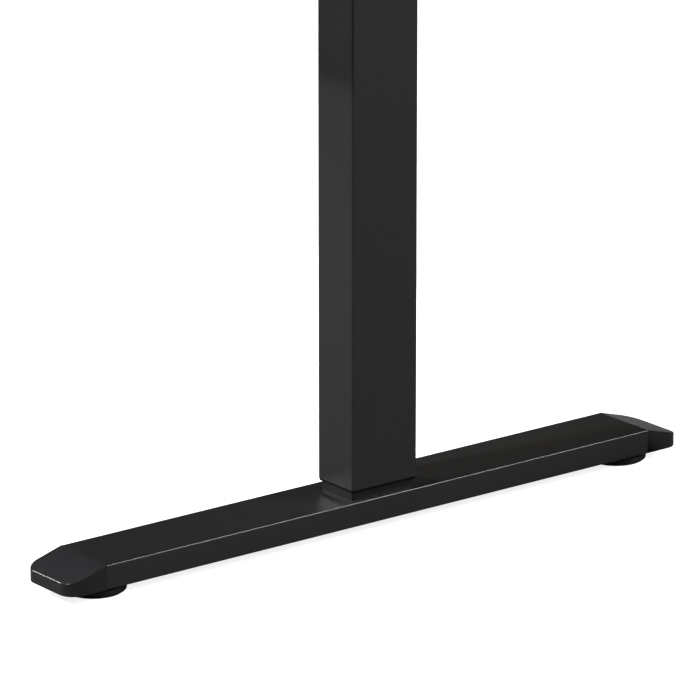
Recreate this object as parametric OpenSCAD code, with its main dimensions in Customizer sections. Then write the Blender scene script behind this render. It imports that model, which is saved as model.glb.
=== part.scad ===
// Height adjustable standing desk on two motor driven lifting columns, at its lowest height.
// X runs along the desktop, Y from the front (-) to the back (+), Z up.
// The origin is on the floor, midway between the legs. All sizes are in millimetres.

/* [Desktop] */
// Length of the desktop
desktop_w = 1600; // [1500:10:1800]
// Depth of the desktop
desktop_d = 750; // [740:2:760]
// Thickness of the board
desktop_t = 20; // [18:1:25]
// Height of the board's underside above the floor, at the lowest height
underside_z = 705; // [690:1:740]
// Radius of the board's corners, seen from above
desktop_corner = 12; // [6:1:30]
// Thickness of the edge band
edge_band_t = 1; // [0.8:0.1:2]

/* [Columns] */
// Distance between the centre lines of the two foot beams
leg_spacing = 1260; // [1200:10:1340]
// How far each column stands outboard of its foot beam's centre line
column_outset = 6; // [0:0.5:8]
// Outer tube, size from front to back
outer_d = 80; // [78:1:84]
// Outer tube, size from side to side
outer_w = 55; // [53:1:56]
// Wall of both column tubes
tube_wall = 1.5; // [1.5:0.1:1.8]
// Gap between the outer and the inner tube, on each side
tube_gap = 1; // [1:0.1:1.2]
// Height of the outer tube's lower end above the foot beam
stub_gap = 11; // [9:0.5:30]
// Diameter of the lead screw
screw_d = 14; // [12:1:16]

/* [Feet] */
// Width of the foot beam
foot_w = 75; // [72:1:80]
// Height of the foot beam
foot_h = 25; // [24:1:28]
// Length of the foot beam between its end caps
foot_l = 675; // [600:5:680]
// Wall of the foot beam
foot_wall = 2; // [1.5:0.5:2.5]
// Height of the foot beam's underside above the floor
foot_clear = 11.5; // [10.5:0.5:13]
// Length of an end cap beyond the beam
cap_l = 44; // [36:1:46]
// Height of the upright lip at an end cap's tip
cap_lip = 12.5; // [8:0.5:16]
// Radius of an end cap's two outer corners
cap_corner = 16; // [6:1:20]
// Diameter of a levelling glide
glide_d = 63; // [50:1:64]
// Distance from the end of the beam to a glide's centre
glide_inboard = 11; // [10:0.5:16]

/* [Frame] */
// Width of a cross rail
rail_w = 20; // [20:1:24]
// Height of a cross rail
rail_h = 35; // [34:1:36]
// Distance between the centre lines of the two cross rails
rail_spacing = 140; // [138:1:146]
// Length of a side arm
arm_l = 640; // [560:10:680]

/* [Electrics] */
// Length of the control box
box_w = 240; // [220:10:300]
// Distance of the handset's centre from the middle of the desk
handset_x = 420; // [300:10:500]
// Width of the handset
handset_w = 120; // [110:5:140]
// Diameter of a handset button
button_d = 9.6; // [8:0.2:10]
// Diameter of a motor's can
motor_d = 46; // [40:1:46]

/* [Hidden] */
$fn = 64;
fit = 0.05;
nudge = 1;

// Levels, from the floor up
foot_top = foot_clear + foot_h;
outer_bottom = foot_top + stub_gap;
rail_drop = 9;
rail_top = underside_z - rail_drop;
rail_bottom = rail_top - rail_h;
plate_t = 4;
plate_bottom = rail_bottom - plate_t;
inner_top = plate_bottom - 27;

// Feet
foot_r = 1.5;
cap_end = foot_l / 2 + cap_l;
glide_y = foot_l / 2 - glide_inboard;
stud_r = 3.95;
nut_h = 10;
plug_l = 20;
plug_gap = 0.2;
plug_x = 20;

// Columns
column_x = -column_outset;
outer_r = 2;
inner_d = outer_d - 2 * (tube_wall + tube_gap);
inner_w = outer_w - 2 * (tube_wall + tube_gap);
inner_r = 2.5;
guide_gap = 0.35;
collar_h = 30;
collar_flange = 2.5;
collar_step = 0.5;
base_h = 8;
base_bolts = [for (x = [-15, 15], y = [-26, 26]) [column_x + x, y]];
m6_r = 2.95;
m6_head_r = 5;
m6_head_h = 6;
m6_hole_r = 3.3;
m6_thread_r = 3.05;
access_r = 6.5;
screw_r = screw_d / 2;
screw_bottom = foot_top + 24;
nut_bottom = inner_top - 34;
nut_top = inner_top - 8;
nut_r = 12;

// Head of each column
plate_half_x = 48;
plate_half_y = rail_spacing / 2 + 15;
rail_end = leg_spacing / 2 + plate_half_x - column_x;
rail_wall = 1.5;
rail_r = 2.5;
end_block = 12;
plate_bolts = [for (x = [-30, 30], y = [-1, 1]) [column_x + x, y * rail_spacing / 2]];
gear_half_x = 37;
gear_front = -32;
gear_back = 44;
gear_h = 38;
pocket_r = 23;
pocket_h = 28;
wheel_r = 22;
wheel_h = 14;
wheel_z = rail_bottom + 19;
worm_r = 6.7;
worm_y = 29;
worm_l = 60;
worm_bore_r = 8.5;
shaft_r = 4;
shaft_l = 24;
bearing_h = 10;
motor_l = 110;
motor_x = column_x + gear_half_x;
notch_gap = 0.8;
cover_r = 20;
cover_l = 7;
m5_r = 2.45;
m5_thread_r = 2.55;
m5_head_r = 4;
m5_head_h = 5;
gear_bolts = [for (x = [-32, 32]) [column_x + x, 0]];

// Side arms, and the screws that hold things to the board
arm_t = 3;
arm_flange = 40;
pad_t = 2;
pad_r = 9;
arm_top = underside_z - pad_t;
arm_deep = arm_top - rail_bottom;
arm_shallow = 18;
arm_mid = plate_half_y + 10;
wood_r = 2;
wood_hole_r = 2.6;
wood_head_r = 4.2;
wood_head_h = 2.5;
wood_l = 13;
arm_screws = [for (side = [-1, 1], y = [-290, -140, 140, 290]) [side * (rail_end + arm_t + 20), y]];

// Control box
box_d = 96;
box_h = 34;
box_wall = 2;
box_plate_t = 2;
box_ear = 18;
box_bottom = underside_z - box_h;
box_screws = [for (x = [-1, 1], y = [-30, 30]) [x * (box_w / 2 + 9), y]];
board_t = 1.6;
board_z = box_bottom + 14;
post_r = 4;
inlet_w = 24;
inlet_h = 16;
inlet_deep = 15;
inlet_wall = 1.5;
inlet_y = -20;
inlet_z = box_bottom + 16;
blade_l = 9;

// Handset, with its front panel just ahead of the board's edge
handset_h = 17;
handset_d = 60;
handset_wall = 2;
handset_z = underside_z - handset_h / 2;
panel_front = -desktop_d / 2 - 5;
panel_t = 3;
handset_back = panel_front + handset_d;
handset_board_y = panel_front + 7.5;
button_proud = 1.2;
button_gap = 0.3;
button_rim = 1.2;
buttons = [["button_up", -46], ["button_down", -31], ["button_one", 31], ["button_two", 46]];
window_w = 34;
window_h = 10;
window_t = 1.5;
handset_screws = [for (x = [-1, 1]) [handset_x + x * (handset_w / 2 - 9), handset_back - 12]];

// Leads clipped to the board's underside, with the points along each route
motor_lead_r = 2.5;
handset_lead_r = 2;
lead_z = underside_z - 5;
lead_steps = 3;
lead_sides = 8;
motor_end = leg_spacing / 2 - motor_x - motor_l - cover_l;
motor_lead_route = [
  [motor_end, worm_y, wheel_z],
  [motor_end - 18, worm_y, wheel_z],
  [motor_end - 45, worm_y + 3, wheel_z + 12],
  [motor_end - 75, worm_y + 4, lead_z],
  [270, worm_y + 4, lead_z],
  [200, worm_y + 3, lead_z],
  [165, worm_y, lead_z - 6],
  [140, worm_y, box_bottom + 20],
  [box_w / 2, worm_y, box_bottom + 20]
];
handset_lead_route = [
  [handset_x, handset_back, handset_z],
  [handset_x, handset_back + 12, handset_z],
  [handset_x - 6, handset_back + 40, lead_z],
  [handset_x - 40, handset_back + 75, lead_z],
  [handset_x - 120, handset_back + 100, lead_z],
  [handset_x - 220, handset_back + 110, lead_z],
  [handset_x - 300, handset_back + 130, lead_z],
  [82, -120, lead_z],
  [70, -92, lead_z],
  [70, -66, lead_z],
  [70, -56, box_bottom + 24],
  [70, -box_d / 2, box_bottom + 22]
];
clip_l = 10;
clip_w = 14;
clip_h = 10;
motor_clips = [for (side = [-1, 1], x = [235, 300]) [side * x, worm_y + 4]];
handset_clips = [[handset_x - 170, handset_back + 105.3, -4], [handset_x - 60, handset_back + 83.7, -20]];

LEG_PARTS = ["foot_beam", "front_foot_cap", "back_foot_cap", "front_glide", "back_glide", "glide_nuts",
  "foot_bolts", "inner_tube", "spindle_nut", "slider_cap", "outer_tube", "guide_collar", "lead_screw",
  "worm_wheel", "thrust_bearing", "gearbox", "worm", "motor"];
FRAME_PARTS = ["front_rail", "back_rail", "left_arm", "right_arm", "frame_bolts", "arm_pads", "desktop",
  "edge_band", "desktop_screws", "control_box", "control_plate", "control_board", "mains_inlet",
  "motor_leads", "handset_lead", "lead_clips", "handset", "handset_panel", "handset_board",
  "handset_window"];

// ---------- shapes shared by several parts ----------

// A rectangle with round corners, centred on the origin
module round_rect(w, d, r) {
  square([w - 2 * r, d], center = true);
  square([w, d - 2 * r], center = true);
  for (x = [-1, 1], y = [-1, 1])
    translate([x * (w / 2 - r), y * (d / 2 - r)]) circle(r = r);
}

// The section of a rectangular tube
module tube_section(w, d, wall, r) {
  difference() {
    round_rect(w, d, r);
    round_rect(w - 2 * wall, d - 2 * wall, max(r - wall, 0.5));
  }
}

// A ring between two rounded rectangles, standing on the floor of its own frame
module frame_ring(w, d, r, hole_w, hole_d, hole_r, h) {
  linear_extrude(h) difference() {
    round_rect(w, d, r);
    round_rect(hole_w, hole_d, hole_r);
  }
}

// Extrudes a section drawn in X and Z along Y, from y = 0 to y = length
module along_y(length) {
  translate([0, length, 0]) rotate([90, 0, 0]) linear_extrude(length) children();
}

// Extrudes a section drawn in Y and Z along X, from x = 0 to x = length
module along_x(length) {
  rotate([90, 0, 90]) linear_extrude(length) children();
}

// A bolt or screw whose head is below z = 0 and whose shank points up
module bolt(shank_r, shank_l, head_r, head_h) {
  cylinder(r = shank_r, h = shank_l);
  translate([0, 0, -head_h]) cylinder(r = head_r, h = head_h);
}

// Puts a part that is drawn for the left leg on that leg or, mirrored, on the right one
module on_leg(leg) {
  if (leg == "left") translate([-leg_spacing / 2, 0, 0]) children();
  else translate([leg_spacing / 2, 0, 0]) mirror([1, 0, 0]) children();
}

// Points on a smooth curve through p1 and p2, with p0 and p3 as their neighbours
function blend_point(p0, p1, p2, p3, t) =
  0.5 * (2 * p1 + (p2 - p0) * t + (2 * p0 - 5 * p1 + 4 * p2 - p3) * t * t
    + (3 * p1 - p0 - 3 * p2 + p3) * t * t * t);
function smooth_route(p) = [
  for (i = [0 : len(p) - 2], k = [0 : lead_steps - 1])
    blend_point(p[max(i - 1, 0)], p[i], p[i + 1], p[min(i + 2, len(p) - 1)], k / lead_steps),
  p[len(p) - 1]
];
function unit(v) = v / norm(v);

// A lead: a tube of flat sides swept along the points of a route
module lead(route, r) {
  p = smooth_route(route);
  n = len(p);
  rings = [for (i = [0 : n - 1])
    let (t = unit(p[min(i + 1, n - 1)] - p[max(i - 1, 0)]),
      side = unit(cross([0, 0, 1], t)),
      up = cross(t, side))
    for (k = [0 : lead_sides - 1])
      p[i] + r * (cos(k * 360 / lead_sides) * side + sin(k * 360 / lead_sides) * up)];
  walls = [for (i = [0 : n - 2], k = [0 : lead_sides - 1])
    let (m = (k + 1) % lead_sides)
    [i * lead_sides + k, (i + 1) * lead_sides + k, (i + 1) * lead_sides + m, i * lead_sides + m]];
  first_end = [for (k = [0 : lead_sides - 1]) k];
  last_end = [for (k = [0 : lead_sides - 1]) n * lead_sides - 1 - k];
  polyhedron(points = rings, faces = concat(walls, [first_end, last_end]));
}

// ---------- one leg, drawn with the inside of the desk towards +X ----------

// Steel tube that lies on the floor side of the leg
module foot_beam() {
  color([0.15, 0.15, 0.155]) difference() {
    translate([0, -foot_l / 2, foot_clear + foot_h / 2])
      along_y(foot_l) tube_section(foot_w, foot_h, foot_wall, foot_r);
    for (y = [-1, 1])
      translate([0, y * glide_y, foot_clear - nudge]) cylinder(r = stud_r + 0.5, h = foot_wall + 2 * nudge);
    for (p = base_bolts) {
      translate([p[0], p[1], foot_clear - nudge]) cylinder(r = access_r, h = foot_wall + 2 * nudge);
      translate([p[0], p[1], foot_top - foot_wall - nudge])
        cylinder(r = m6_hole_r, h = foot_wall + 2 * nudge);
    }
  }
}

// Plastic end of the foot beam: it slopes down to an upright lip and plugs into the tube
module foot_cap(end) {
  color([0.13, 0.13, 0.14]) scale([1, end, 1]) {
    intersection() {
      translate([0, 0, foot_clear]) linear_extrude(foot_h) {
        translate([-foot_w / 2, foot_l / 2]) square([foot_w, cap_l - cap_corner]);
        translate([cap_corner - foot_w / 2, foot_l / 2]) square([foot_w - 2 * cap_corner, cap_l]);
        for (x = [-1, 1])
          translate([x * (foot_w / 2 - cap_corner), cap_end - cap_corner]) circle(r = cap_corner);
      }
      translate([-foot_w / 2, 0, 0]) along_x(foot_w) polygon([
        [foot_l / 2, foot_clear],
        [cap_end, foot_clear],
        [cap_end, foot_clear + cap_lip],
        [foot_l / 2, foot_top]
      ]);
    }
    for (side = [-1, 1])
      translate([side == 1 ? plug_x : plug_gap + foot_wall - foot_w / 2, foot_l / 2 - plug_l,
        foot_clear + foot_wall + plug_gap])
        cube([foot_w / 2 - foot_wall - plug_gap - plug_x, plug_l + fit, foot_h - 2 * (foot_wall + plug_gap)]);
  }
}

// Levelling glide: a round foot on a threaded stud, here screwed right in
module glide(end) {
  rim = 2;
  disc_h = foot_clear - 2.5;
  color([0.08, 0.08, 0.085]) translate([0, end * glide_y, 0]) {
    cylinder(r1 = glide_d / 2 - rim, r2 = glide_d / 2, h = rim);
    translate([0, 0, rim]) cylinder(r = glide_d / 2, h = disc_h - 2 * rim);
    translate([0, 0, disc_h - rim]) cylinder(r1 = glide_d / 2, r2 = glide_d / 2 - rim, h = rim);
    cylinder(r = 10, h = foot_clear - 0.3);
    cylinder(r = stud_r, h = foot_top - foot_wall - 1);
  }
}

// Two long nuts welded inside the beam, one for each glide's stud
module glide_nuts() {
  color([0.7, 0.7, 0.68]) for (y = [-1, 1])
    translate([0, y * glide_y, foot_clear + foot_wall]) difference() {
      cylinder(r = 7.5, h = nut_h, $fn = 6);
      translate([0, 0, -nudge]) cylinder(r = stud_r + fit, h = nut_h + 2 * nudge);
    }
}

// Four bolts that pull the inner tube down onto the beam, with their heads inside it
module foot_bolts() {
  color([0.25, 0.25, 0.26]) for (p = base_bolts)
    translate([p[0], p[1], foot_top - foot_wall]) bolt(m6_r, foot_wall + base_h - 1, m6_head_r, m6_head_h);
}

// Lower tube of the column, with its base block and the block that holds the nut
module inner_tube() {
  block_w = inner_w - 2 * tube_wall;
  block_d = inner_d - 2 * tube_wall;
  block_r = inner_r - tube_wall;
  color([0.12, 0.12, 0.125]) translate([column_x, 0, 0]) {
    translate([0, 0, foot_top]) linear_extrude(inner_top - foot_top)
      tube_section(inner_w, inner_d, tube_wall, inner_r);
    translate([0, 0, foot_top]) difference() {
      linear_extrude(base_h) round_rect(block_w, block_d, block_r);
      for (p = base_bolts)
        translate([p[0] - column_x, p[1], -nudge]) cylinder(r = m6_thread_r, h = base_h + 2 * nudge);
    }
    translate([0, 0, nut_bottom]) difference() {
      linear_extrude(nut_top - nut_bottom) round_rect(block_w, block_d, block_r);
      translate([0, 0, -nudge]) cylinder(r = nut_r + fit, h = nut_top - nut_bottom + 2 * nudge);
    }
  }
}

// Nut that the lead screw turns in
module spindle_nut() {
  color([0.85, 0.83, 0.76]) translate([column_x, 0, nut_bottom]) difference() {
    union() {
      cylinder(r = nut_r, h = nut_top - nut_bottom);
      translate([0, 0, nut_top - nut_bottom]) cylinder(r = nut_r + 4, h = 4);
    }
    translate([0, 0, -nudge]) cylinder(r = screw_r + fit, h = nut_top - nut_bottom + 4 + 2 * nudge);
  }
}

// Plastic guide over the top of the inner tube, which slides inside the outer tube
module slider_cap() {
  skirt_w = outer_w - 2 * tube_wall - 2 * guide_gap;
  skirt_d = outer_d - 2 * tube_wall - 2 * guide_gap;
  color([0.9, 0.9, 0.88]) translate([column_x, 0, 0]) {
    translate([0, 0, inner_top - 36]) frame_ring(skirt_w, skirt_d, inner_r, inner_w, inner_d, inner_r, 36);
    translate([0, 0, inner_top])
      frame_ring(skirt_w, skirt_d, inner_r, inner_w - 12, inner_d - 12, inner_r, 3);
  }
}

// Upper tube of the column, welded to the plate that carries the gearbox and the rails.
// A notch in the plate makes room for the motor.
module outer_tube() {
  color([0.16, 0.16, 0.165]) difference() {
    union() {
      translate([column_x, 0, outer_bottom]) linear_extrude(plate_bottom - outer_bottom)
        tube_section(outer_w, outer_d, tube_wall, outer_r);
      translate([column_x, 0, plate_bottom]) linear_extrude(plate_t)
        round_rect(2 * plate_half_x, 2 * plate_half_y, 4);
    }
    translate([column_x, 0, plate_bottom - nudge]) cylinder(r = screw_r + 4, h = plate_t + 2 * nudge);
    for (p = plate_bolts)
      translate([p[0], p[1], plate_bottom - nudge]) cylinder(r = m6_hole_r, h = plate_t + 2 * nudge);
    for (p = gear_bolts)
      translate([p[0], p[1], plate_bottom - nudge]) cylinder(r = m5_r + 0.35, h = plate_t + 2 * nudge);
    translate([motor_x - notch_gap, worm_y - motor_d / 2 - notch_gap, plate_bottom - nudge])
      cube([plate_half_x - gear_half_x + notch_gap + nudge, motor_d + 2 * notch_gap, plate_t + 2 * nudge]);
  }
}

// Plastic collar in the outer tube's lower end, with a thin flange below it
module guide_collar() {
  bore_w = inner_w + 2 * guide_gap;
  bore_d = inner_d + 2 * guide_gap;
  color([0.05, 0.05, 0.05]) translate([column_x, 0, 0]) {
    translate([0, 0, outer_bottom])
      frame_ring(outer_w - 2 * tube_wall, outer_d - 2 * tube_wall, outer_r - tube_wall, bore_w, bore_d,
        inner_r, collar_h);
    translate([0, 0, outer_bottom - collar_flange])
      frame_ring(outer_w - 2 * collar_step, outer_d - 2 * collar_step, outer_r - collar_step, bore_w, bore_d,
        inner_r, collar_flange);
  }
}

// Lead screw, which hangs from the gearbox into the inner tube
module lead_screw() {
  color([0.6, 0.6, 0.6]) translate([column_x, 0, screw_bottom])
    cylinder(r = screw_r, h = rail_bottom + pocket_h + 4 - screw_bottom);
}

// Wheel on the lead screw that the worm drives
module worm_wheel() {
  color([0.8, 0.78, 0.7]) translate([column_x, 0, wheel_z - wheel_h / 2]) difference() {
    cylinder(r = wheel_r, h = wheel_h);
    translate([0, 0, -nudge]) cylinder(r = screw_r + fit, h = wheel_h + 2 * nudge);
  }
}

// Bearing that carries the screw and closes the gearbox's pocket from below
module thrust_bearing() {
  color([0.65, 0.65, 0.66]) translate([column_x, 0, rail_bottom]) difference() {
    cylinder(r = pocket_r - fit, h = bearing_h);
    translate([0, 0, -nudge]) cylinder(r = screw_r + 2 * fit, h = bearing_h + 2 * nudge);
  }
}

// Cast gearbox: a pocket for the wheel from below and a bore for the worm from the motor's side
module gearbox() {
  color([0.1, 0.1, 0.1]) difference() {
    translate([column_x, (gear_front + gear_back) / 2, rail_bottom])
      linear_extrude(gear_h) round_rect(2 * gear_half_x, gear_back - gear_front, 5);
    translate([column_x, 0, rail_bottom - nudge]) cylinder(r = pocket_r, h = pocket_h + nudge);
    translate([column_x, 0, rail_bottom]) cylinder(r = screw_r + 2 * fit, h = pocket_h + 5);
    translate([motor_x - worm_l - 4, worm_y, wheel_z]) rotate([0, 90, 0])
      cylinder(r = worm_bore_r, h = worm_l + 4 + nudge);
    for (p = gear_bolts)
      translate([p[0], p[1], rail_bottom - nudge]) cylinder(r = m5_thread_r, h = 14 + nudge);
  }
}

// Worm on the motor's shaft
module worm() {
  color([0.6, 0.6, 0.6]) translate([motor_x - worm_l, worm_y, wheel_z]) rotate([0, 90, 0]) {
    cylinder(r = worm_r, h = worm_l - 2);
    cylinder(r = shaft_r, h = worm_l + shaft_l);
  }
}

// Motor can with its rear cover and the gland that its lead leaves by
module motor() {
  color([0.12, 0.12, 0.125]) translate([motor_x, worm_y, wheel_z]) rotate([0, 90, 0]) difference() {
    union() {
      cylinder(r = motor_d / 2, h = motor_l);
      translate([0, 0, motor_l]) cylinder(r = cover_r, h = cover_l);
    }
    translate([0, 0, -nudge]) cylinder(r = shaft_r + fit, h = shaft_l + 2 * nudge);
  }
}

// ---------- the frame that joins the two columns ----------

// Steel tube between the column heads, with a threaded block in each end
module rail(side) {
  color([0.15, 0.15, 0.155]) difference() {
    translate([-rail_end, side * rail_spacing / 2, rail_bottom + rail_h / 2]) {
      along_x(2 * rail_end) tube_section(rail_w, rail_h, rail_wall, rail_r);
      for (x = [0, 2 * rail_end - end_block])
        translate([x, 0, 0]) along_x(end_block)
          round_rect(rail_w - 2 * rail_wall, rail_h - 2 * rail_wall, rail_r - rail_wall);
    }
    for (x = [-1, 1])
      translate([x * rail_end, side * rail_spacing / 2, rail_bottom + rail_h / 2])
        rotate([0, 90, 0]) cylinder(r = m6_thread_r, h = 2 * end_block + 2 * nudge, center = true);
    for (x = [-1, 1], p = plate_bolts)
      if (p[1] * side > 0)
        translate([x * (leg_spacing / 2 - p[0]), p[1], rail_bottom - nudge])
          cylinder(r = m6_thread_r, h = rail_wall + 2 * nudge);
  }
}

// Side arm: an upright web with a flange under the desktop, shallower towards its ends
module arm(side) {
  color([0.15, 0.15, 0.155]) scale([side, 1, 1]) difference() {
    union() {
      translate([rail_end, 0, 0]) along_x(arm_t) polygon([
        [-arm_l / 2, arm_top],
        [-arm_l / 2, arm_top - arm_shallow],
        [-arm_mid, arm_top - arm_deep],
        [arm_mid, arm_top - arm_deep],
        [arm_l / 2, arm_top - arm_shallow],
        [arm_l / 2, arm_top]
      ]);
      translate([rail_end, -arm_l / 2, arm_top - arm_t]) cube([arm_flange, arm_l, arm_t]);
    }
    for (y = [-1, 1])
      translate([rail_end - nudge, y * rail_spacing / 2, rail_bottom + rail_h / 2]) rotate([0, 90, 0])
        cylinder(r = m6_hole_r, h = arm_t + 2 * nudge);
    for (p = arm_screws)
      if (p[0] > 0)
        translate([p[0], p[1], arm_top - arm_t - nudge]) cylinder(r = wood_hole_r, h = arm_t + 2 * nudge);
  }
}

// Bolts that hold the rails, the gearboxes and the side arms
module frame_bolts() {
  color([0.25, 0.25, 0.26]) for (side = [-1, 1]) {
    for (p = plate_bolts)
      translate([side * (leg_spacing / 2 - p[0]), p[1], plate_bottom])
        bolt(m6_r, plate_t + 12, m6_head_r, m6_head_h);
    for (p = gear_bolts)
      translate([side * (leg_spacing / 2 - p[0]), p[1], plate_bottom])
        bolt(m5_r, plate_t + 12, m5_head_r, m5_head_h);
    for (y = [-1, 1])
      translate([side * (rail_end + arm_t), y * rail_spacing / 2, rail_bottom + rail_h / 2])
        rotate([0, -90 * side, 0]) bolt(m6_r, arm_t + end_block - 2, m6_head_r, m6_head_h);
  }
}

// Rubber washers between the side arms and the board
module arm_pads() {
  color([0.05, 0.05, 0.05]) for (p = arm_screws)
    translate([p[0], p[1], arm_top]) difference() {
      cylinder(r = pad_r, h = pad_t);
      translate([0, 0, -nudge]) cylinder(r = wood_hole_r, h = pad_t + 2 * nudge);
    }
}

// The board, drilled from below for every screw
module desktop() {
  color([0.17, 0.165, 0.16]) difference() {
    translate([0, 0, underside_z]) linear_extrude(desktop_t)
      round_rect(desktop_w - 2 * edge_band_t, desktop_d - 2 * edge_band_t, desktop_corner - edge_band_t);
    for (p = concat(arm_screws, box_screws, handset_screws))
      translate([p[0], p[1], underside_z - nudge]) cylinder(r = wood_r + fit, h = wood_l + nudge);
  }
}

// Plastic band glued round the board's edge
module edge_band() {
  color([0.1, 0.1, 0.1]) translate([0, 0, underside_z])
    frame_ring(desktop_w, desktop_d, desktop_corner, desktop_w - 2 * edge_band_t,
      desktop_d - 2 * edge_band_t, desktop_corner - edge_band_t, desktop_t);
}

// Screws into the board, from the side arms, the control box and the handset
module desktop_screws() {
  color([0.3, 0.3, 0.3]) {
    for (p = arm_screws)
      translate([p[0], p[1], arm_top - arm_t])
        bolt(wood_r, arm_t + pad_t + wood_l - 1, wood_head_r, wood_head_h);
    for (p = box_screws)
      translate([p[0], p[1], underside_z - box_plate_t])
        bolt(wood_r, box_plate_t + wood_l - 1, wood_head_r, wood_head_h);
    for (p = handset_screws)
      translate([p[0], p[1], underside_z - handset_wall])
        bolt(wood_r, handset_wall + wood_l - 1, wood_head_r, wood_head_h);
  }
}

// ---------- control box ----------

// Plastic tray that holds the circuit board, open towards the desktop
module control_box() {
  color([0.07, 0.07, 0.07]) difference() {
    union() {
      translate([0, 0, box_bottom]) difference() {
        linear_extrude(box_h - box_plate_t) round_rect(box_w, box_d, 4);
        translate([0, 0, box_wall]) linear_extrude(box_h)
          round_rect(box_w - 2 * box_wall, box_d - 2 * box_wall, 4 - box_wall);
      }
      for (x = [-1, 1], y = [-1, 1])
        translate([x * (box_w / 2 - 24), y * (box_d / 2 - 12), box_bottom + box_wall / 2])
          cylinder(r = post_r, h = board_z - box_bottom - box_wall / 2);
    }
    translate([-box_w / 2 - nudge, inlet_y - inlet_w / 2 - inlet_wall, inlet_z - inlet_h / 2 - inlet_wall])
      cube([box_wall + 2 * nudge, inlet_w + 2 * inlet_wall, inlet_h + 2 * inlet_wall]);
  }
}

// Steel plate that closes the tray and screws to the board
module control_plate() {
  color([0.2, 0.2, 0.2]) difference() {
    translate([0, 0, underside_z - box_plate_t]) linear_extrude(box_plate_t)
      round_rect(box_w + 2 * box_ear, box_d, 4);
    for (p = box_screws)
      translate([p[0], p[1], underside_z - box_plate_t - nudge])
        cylinder(r = wood_hole_r, h = box_plate_t + 2 * nudge);
  }
}

// Circuit board with its largest components, on the tray's four posts
module control_board() {
  color([0.1, 0.35, 0.2]) {
    translate([-box_w / 2 + 20, -box_d / 2 + 6, board_z]) cube([box_w - 40, box_d - 12, board_t]);
    for (x = [-50, -20]) translate([x, 12, board_z + board_t - fit]) cylinder(r = 6, h = 12);
    translate([20, -20, board_z + board_t - fit]) cube([30, 26, 11]);
    translate([64, -24, board_z + board_t - fit]) cube([20, 40, 10]);
  }
}

// Mains inlet with its three blades; its mouth faces -X
module mains_inlet() {
  shell_w = inlet_w + 2 * inlet_wall - 2 * fit;
  shell_h = inlet_h + 2 * inlet_wall - 2 * fit;
  color([0.04, 0.04, 0.04]) translate([-box_w / 2, inlet_y, inlet_z]) {
    difference() {
      union() {
        translate([-2, -shell_w / 2 - 3, -shell_h / 2 + fit]) cube([2, shell_w + 6, shell_h - 2 * fit]);
        translate([-fit, -shell_w / 2, -shell_h / 2]) cube([inlet_deep + fit, shell_w, shell_h]);
      }
      translate([-2 - nudge, -inlet_w / 2, -inlet_h / 2]) cube([inlet_deep + nudge, inlet_w, inlet_h]);
    }
    for (p = [[-7, -2], [0, 2], [7, -2]])
      translate([inlet_deep - 2 - blade_l, p[0] - 1, p[1] - 2]) cube([blade_l + fit, 2, 4]);
  }
}

// ---------- handset ----------

// Shell of the handset, open at the front and closed at the top by its mounting wall
module handset() {
  shell_l = handset_d - panel_t;
  color([0.06, 0.06, 0.06]) difference() {
    translate([handset_x, panel_front + panel_t, handset_z])
      along_y(shell_l) round_rect(handset_w, handset_h, 3);
    translate([handset_x, panel_front + panel_t - nudge, handset_z])
      along_y(shell_l - handset_wall + nudge)
      round_rect(handset_w - 2 * handset_wall, handset_h - 2 * handset_wall, 1);
    for (p = handset_screws) {
      translate([p[0], p[1], underside_z - handset_wall - nudge])
        cylinder(r = wood_hole_r, h = handset_wall + 2 * nudge);
      translate([p[0], p[1], underside_z - handset_h - nudge])
        cylinder(r = wood_head_r + 0.8, h = handset_wall + 2 * nudge);
    }
  }
}

// Front panel with a hole for each button and a recess for the window
module handset_panel() {
  color([0.03, 0.03, 0.03]) difference() {
    translate([handset_x, panel_front, handset_z]) along_y(panel_t) round_rect(handset_w, handset_h, 3);
    for (b = buttons)
      translate([handset_x + b[1], panel_front - nudge, handset_z]) rotate([-90, 0, 0])
        cylinder(r = button_d / 2 + button_gap, h = panel_t + 2 * nudge);
    translate([handset_x, panel_front - nudge, handset_z]) along_y(window_t + nudge)
      square([window_w + 2 * fit, window_h + 2 * fit], center = true);
    translate([handset_x, panel_front, handset_z]) along_y(panel_t + nudge)
      square([window_w - 4, window_h - 3], center = true);
  }
}

// Clear window over the display
module handset_window() {
  color([0.02, 0.02, 0.03]) translate([handset_x, panel_front, handset_z]) along_y(window_t)
    square([window_w, window_h], center = true);
}

// Circuit board with the display and a switch behind each button
module handset_board() {
  depth = handset_board_y - panel_front;
  color([0.1, 0.35, 0.2]) translate([handset_x, handset_board_y, handset_z]) {
    along_y(board_t) square([handset_w - 8, handset_h - 6], center = true);
    translate([0, -3, 0]) along_y(3 + fit) square([window_w - 6, window_h - 4], center = true);
    for (b = buttons)
      translate([b[1], -depth + 6, 0]) along_y(depth - 6 + fit) square([5, 5], center = true);
  }
}

// Round button with a rim behind the panel; it travels inwards
module handset_button(x) {
  color([0.35, 0.35, 0.36])
    translate([handset_x + x, panel_front - button_proud, handset_z]) rotate([-90, 0, 0]) {
      cylinder(r = button_d / 2, h = button_proud + panel_t + 0.1);
      translate([0, 0, button_proud + panel_t + 0.1]) cylinder(r = button_d / 2 + button_rim, h = 1);
    }
}

// ---------- leads ----------

// From each motor's gland to the nearer end of the control box
module motor_leads() {
  color([0.03, 0.03, 0.03]) {
    lead(motor_lead_route, motor_lead_r);
    mirror([1, 0, 0]) lead(motor_lead_route, motor_lead_r);
  }
}

// From the back of the handset, over the front rail, to the control box
module handset_lead() {
  color([0.03, 0.03, 0.03]) lead(handset_lead_route, handset_lead_r);
}

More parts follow.
